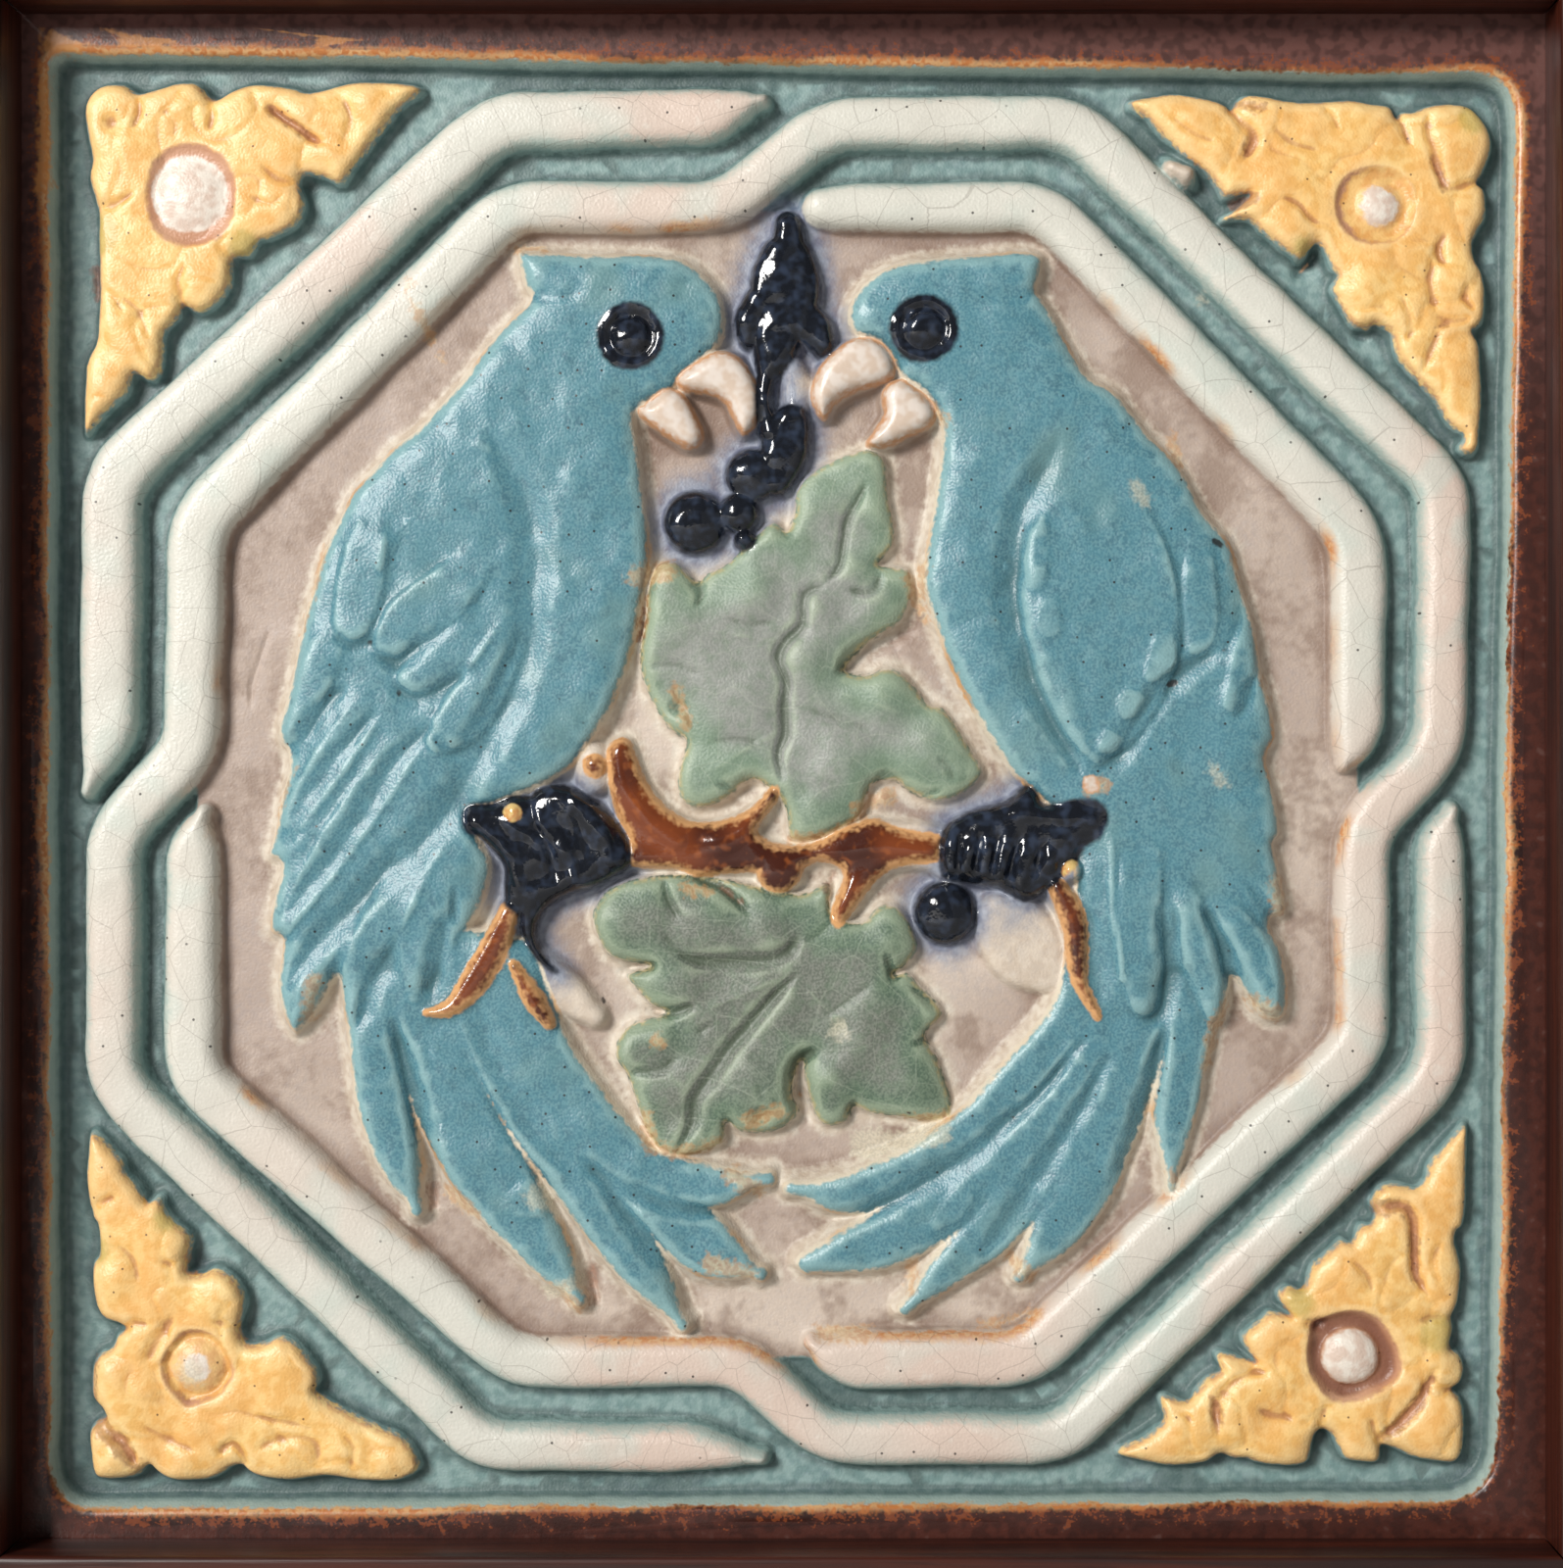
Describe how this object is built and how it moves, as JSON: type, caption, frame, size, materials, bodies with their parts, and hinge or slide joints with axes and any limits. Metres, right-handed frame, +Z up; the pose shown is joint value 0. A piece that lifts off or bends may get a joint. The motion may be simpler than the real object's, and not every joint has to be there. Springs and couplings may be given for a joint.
{
  "type": "framed ceramic tile",
  "caption": "Square glazed relief tile with facing birds, vine leaves and interlaced octagonal straps, held in a deep mitred wooden frame that hangs on a wall.",
  "frame": {"origin": "middle of the top rail's back, on the wall plane, where the work hangs", "axes": "the tile faces -Y, +Y points into the wall, +Z is up"},
  "size_m": [0.374, 0.0385, 0.374],
  "materials": {
    "tile_glaze": "matte to glossy coloured glazes with fine crackle",
    "frame_wood": "dark red-brown stain, rubbed polish"
  },
  "bodies": {
    "root": {"tile": "tile_glaze", "frame_top_rail": "frame_wood", "frame_bottom_rail": "frame_wood", "frame_left_stile": "frame_wood", "frame_right_stile": "frame_wood"}
  },
  "joints": []
}
